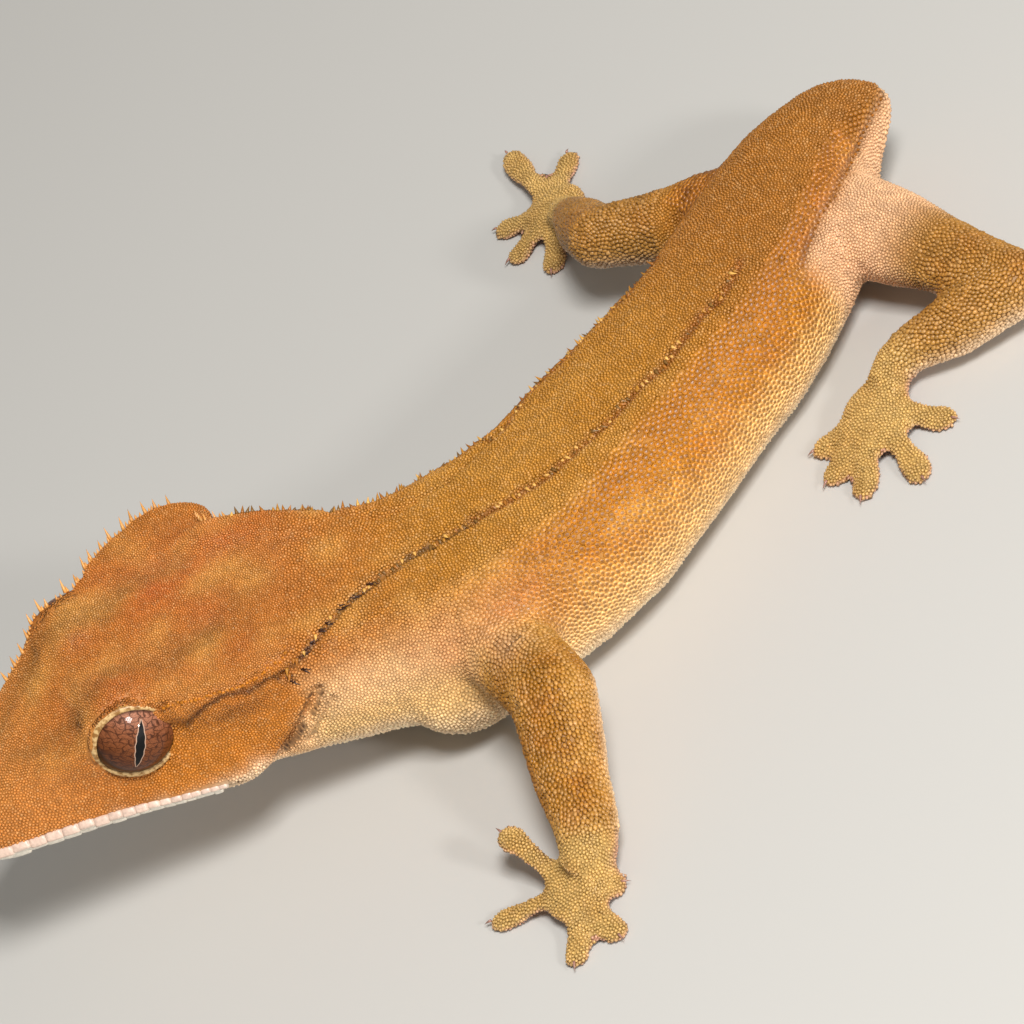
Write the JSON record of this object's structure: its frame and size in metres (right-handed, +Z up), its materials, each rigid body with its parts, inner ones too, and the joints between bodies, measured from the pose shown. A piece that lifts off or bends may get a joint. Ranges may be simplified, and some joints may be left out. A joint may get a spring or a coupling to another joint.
{
  "type": "crested gecko",
  "caption": "Life-size crested gecko lying on its belly, head raised and turned, a hind leg stretched out sideways and the tail a short stub.",
  "frame": {"origin": "middle of the whole animal's box, on the floor", "axes": "+Z up; -Y towards the snout, +Y towards the tail stub; +X to the animal's left side"},
  "size_m": [0.0938, 0.1002, 0.0263],
  "materials": {
    "skin": "scaly, satin",
    "eye": "wet gloss"
  },
  "bodies": {
    "root": {"head": "skin", "lower_jaw": "skin", "neck": "skin", "trunk": "skin", "tail_stub": "skin", "left_upper_arm": "skin", "left_forearm": "skin", "left_hand": "skin", "right_upper_arm": "skin", "right_forearm": "skin", "right_hand": "skin", "left_thigh": "skin", "left_shank": "skin", "left_foot": "skin", "right_thigh": "skin", "right_shank": "skin", "right_foot": "skin", "left_eye": "eye", "right_eye": "eye"}
  },
  "joints": []
}
